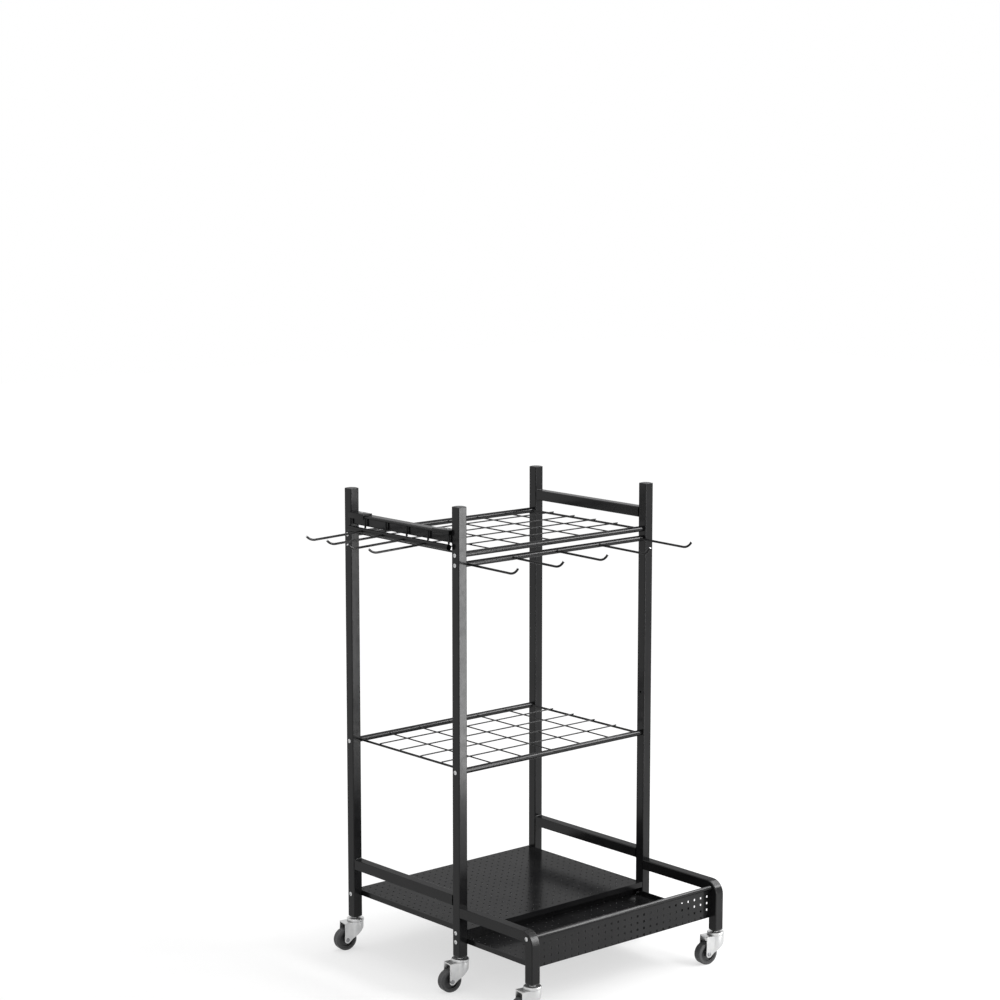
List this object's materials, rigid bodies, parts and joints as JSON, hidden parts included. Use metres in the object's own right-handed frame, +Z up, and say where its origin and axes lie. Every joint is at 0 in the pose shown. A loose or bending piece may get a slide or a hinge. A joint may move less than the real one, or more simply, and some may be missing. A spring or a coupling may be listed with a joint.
{
  "type": "freestanding garden tool rack",
  "caption": "Freestanding steel rack on swivel casters, with wire grids for long handles, a perforated shelf and front tray, and hooks on the front and one side.",
  "frame": {"origin": "centre of the rack's bounding box, on the ground under the wheels", "axes": "+X to the right as seen from the front, +Y from the front tray to the rear, +Z up"},
  "size_m": [0.7398, 0.641, 1.051],
  "materials": {
    "coat": "black semi-gloss powder coat",
    "zinc": "bright zinc plating",
    "plastic": "black moulded plastic",
    "hub": "black moulded plastic",
    "tyre": "charcoal rubber"
  },
  "bodies": {
    "rack": {"post_front_left": "coat", "post_front_right": "coat", "post_rear_left": "coat", "post_rear_right": "coat", "top_rail_left": "coat", "top_rail_right": "coat", "bottom_rail_left": "coat", "bottom_rail_right": "coat", "tray_rail_left": "coat", "tray_rail_right": "coat", "upper_front_tube": "coat", "upper_rear_tube": "coat", "hook_bar": "coat", "mid_front_tube": "coat", "mid_rear_tube": "coat", "upper_grid_rods": "coat", "upper_grid_long_wires": "coat", "upper_grid_cross_wires": "coat", "mid_grid_rods": "coat", "mid_grid_long_wires": "coat", "mid_grid_cross_wires": "coat", "front_hooks": "coat", "shelf": "coat", "tray": "coat", "side_rack_tube": "coat", "side_rack_wires": "coat", "side_hooks": "coat", "rack_clips": "coat", "post_caps": "plastic", "leg_plugs": "plastic", "frame_screws": "zinc", "tray_screws": "zinc", "clip_screws": "zinc", "caster_stems": "zinc"},
    "caster_front_left": {"fork_front_left": "zinc", "axle_front_left": "zinc"},
    "wheel_front_left": {"hub_front_left": "hub", "tyre_front_left": "tyre"},
    "caster_front_right": {"fork_front_right": "zinc", "axle_front_right": "zinc"},
    "wheel_front_right": {"hub_front_right": "hub", "tyre_front_right": "tyre"},
    "caster_rear_left": {"fork_rear_left": "zinc", "axle_rear_left": "zinc"},
    "wheel_rear_left": {"hub_rear_left": "hub", "tyre_rear_left": "tyre"},
    "caster_rear_right": {"fork_rear_right": "zinc", "axle_rear_right": "zinc"},
    "wheel_rear_right": {"hub_rear_right": "hub", "tyre_rear_right": "tyre"},
    "caster_tray_left": {"fork_tray_left": "zinc", "axle_tray_left": "zinc"},
    "wheel_tray_left": {"hub_tray_left": "hub", "tyre_tray_left": "tyre"},
    "caster_tray_right": {"fork_tray_right": "zinc", "axle_tray_right": "zinc"},
    "wheel_tray_right": {"hub_tray_right": "hub", "tyre_tray_right": "tyre"}
  },
  "joints": [
    {"name": "swivel_front_left", "type": "hinge", "parent": "rack", "child": "caster_front_left", "pos_m": [-0.19359, -0.06805, 0.06], "axis": [0, 0, 1], "continuous": true},
    {"name": "roll_front_left", "type": "hinge", "parent": "caster_front_left", "child": "wheel_front_left", "pos_m": [-0.21969, -0.06345, 0.025], "axis": [-0.1736, -0.9848, 0], "continuous": true},
    {"name": "swivel_front_right", "type": "hinge", "parent": "rack", "child": "caster_front_right", "pos_m": [0.35041, -0.06805, 0.06], "axis": [0, 0, 1], "continuous": true},
    {"name": "roll_front_right", "type": "hinge", "parent": "caster_front_right", "child": "wheel_front_right", "pos_m": [0.32431, -0.06345, 0.025], "axis": [-0.1736, -0.9848, 0], "continuous": true},
    {"name": "swivel_rear_left", "type": "hinge", "parent": "rack", "child": "caster_rear_left", "pos_m": [-0.19359, 0.29995, 0.06], "axis": [0, 0, 1], "continuous": true},
    {"name": "roll_rear_left", "type": "hinge", "parent": "caster_rear_left", "child": "wheel_rear_left", "pos_m": [-0.21969, 0.30456, 0.025], "axis": [-0.1736, -0.9848, 0], "continuous": true},
    {"name": "swivel_rear_right", "type": "hinge", "parent": "rack", "child": "caster_rear_right", "pos_m": [0.35041, 0.29995, 0.06], "axis": [0, 0, 1], "continuous": true},
    {"name": "roll_rear_right", "type": "hinge", "parent": "caster_rear_right", "child": "wheel_rear_right", "pos_m": [0.32431, 0.30456, 0.025], "axis": [-0.1736, -0.9848, 0], "continuous": true},
    {"name": "swivel_tray_left", "type": "hinge", "parent": "rack", "child": "caster_tray_left", "pos_m": [-0.19359, -0.30105, 0.06], "axis": [0, 0, 1], "continuous": true},
    {"name": "roll_tray_left", "type": "hinge", "parent": "caster_tray_left", "child": "wheel_tray_left", "pos_m": [-0.21969, -0.29645, 0.025], "axis": [-0.1736, -0.9848, 0], "continuous": true},
    {"name": "swivel_tray_right", "type": "hinge", "parent": "rack", "child": "caster_tray_right", "pos_m": [0.35041, -0.30105, 0.06], "axis": [0, 0, 1], "continuous": true},
    {"name": "roll_tray_right", "type": "hinge", "parent": "caster_tray_right", "child": "wheel_tray_right", "pos_m": [0.32431, -0.29645, 0.025], "axis": [-0.1736, -0.9848, 0], "continuous": true}
  ]
}
